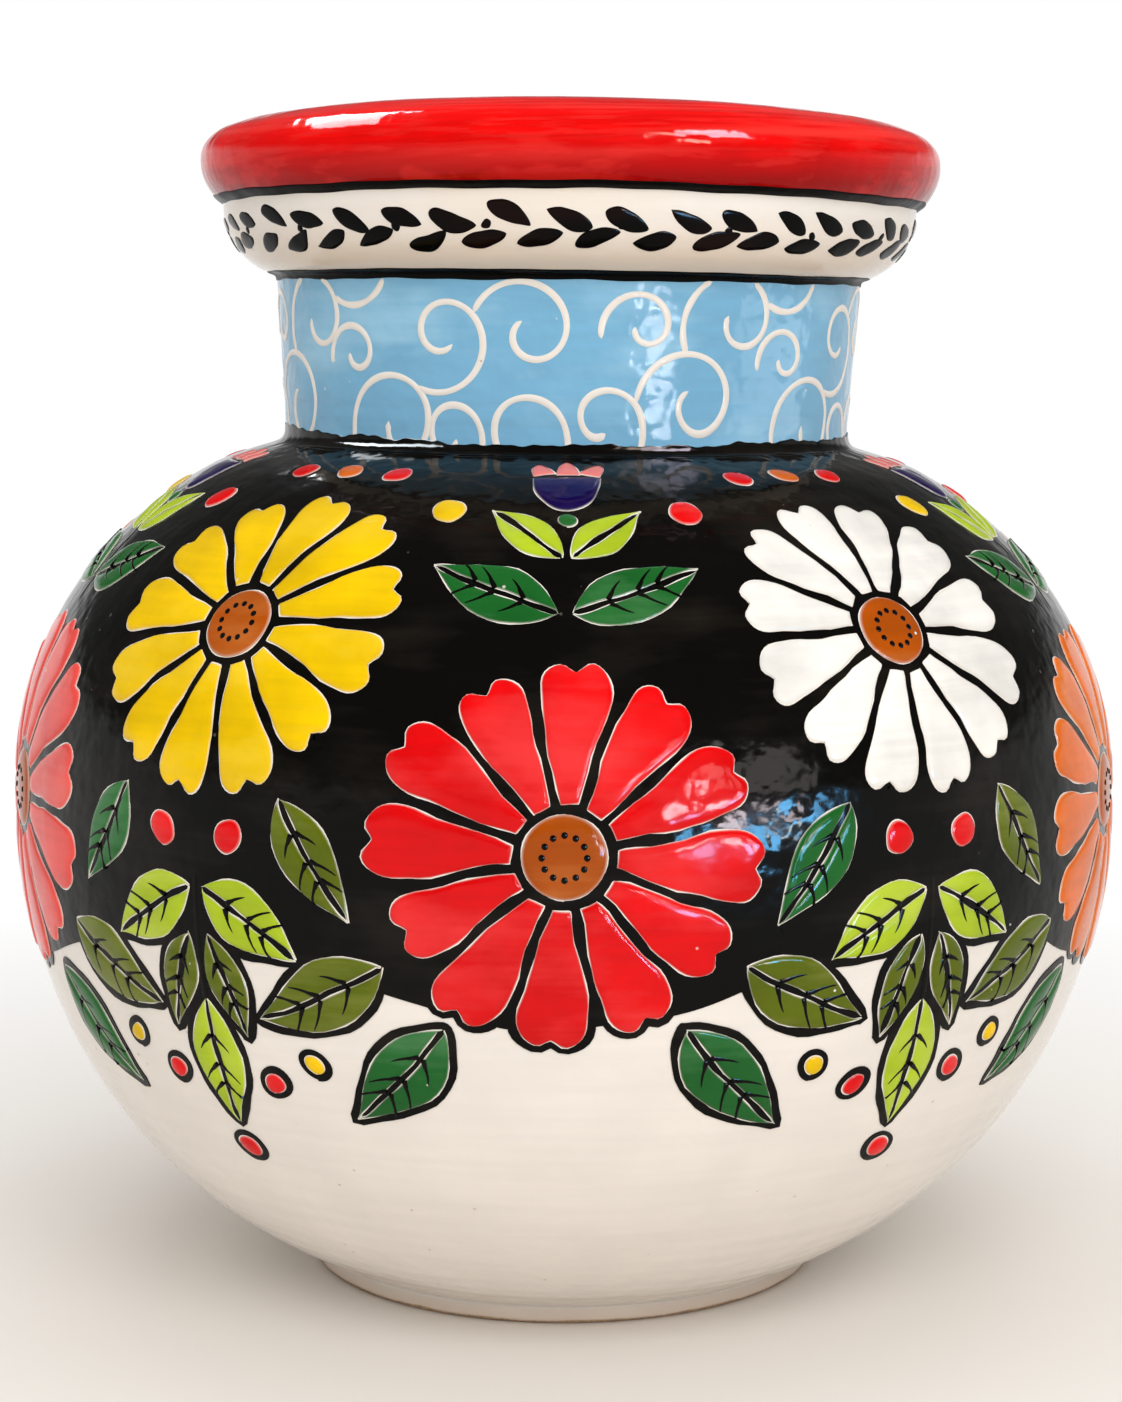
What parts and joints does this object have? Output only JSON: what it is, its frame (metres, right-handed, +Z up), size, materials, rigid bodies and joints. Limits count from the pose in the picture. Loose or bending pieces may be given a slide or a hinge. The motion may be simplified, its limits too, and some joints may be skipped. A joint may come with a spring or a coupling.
{
  "type": "vase",
  "caption": "Round-bellied glazed ceramic vase with a low foot, straight neck, rounded collar and rolled rim, for holding flowers.",
  "frame": {"origin": "on the vase's axis, on the standing face of the foot ring", "axes": "+Z up along the axis, out of the mouth; -Y faces the viewer of the picture"},
  "size_m": [0.342, 0.342, 0.3598],
  "materials": {
    "rim_glaze": "glossy red glaze over white earthenware",
    "collar_glaze": "glossy cream glaze with black brushwork",
    "neck_glaze": "glossy sky blue glaze with cream scrolls",
    "shoulder_glaze": "glossy black ground with raised coloured glazes",
    "bowl_glaze": "glossy cream glaze",
    "foot_clay": "cream glaze above a bare, unglazed standing edge",
    "slip": "fired clay slip"
  },
  "bodies": {
    "root": {"foot_ring": "foot_clay", "foot_luting": "slip", "lower_bowl": "bowl_glaze", "belly_luting": "slip", "upper_bowl": "shoulder_glaze", "neck_luting": "slip", "neck": "neck_glaze", "collar_luting": "slip", "collar": "collar_glaze", "rim_luting": "slip", "rim_roll": "rim_glaze"}
  },
  "joints": []
}
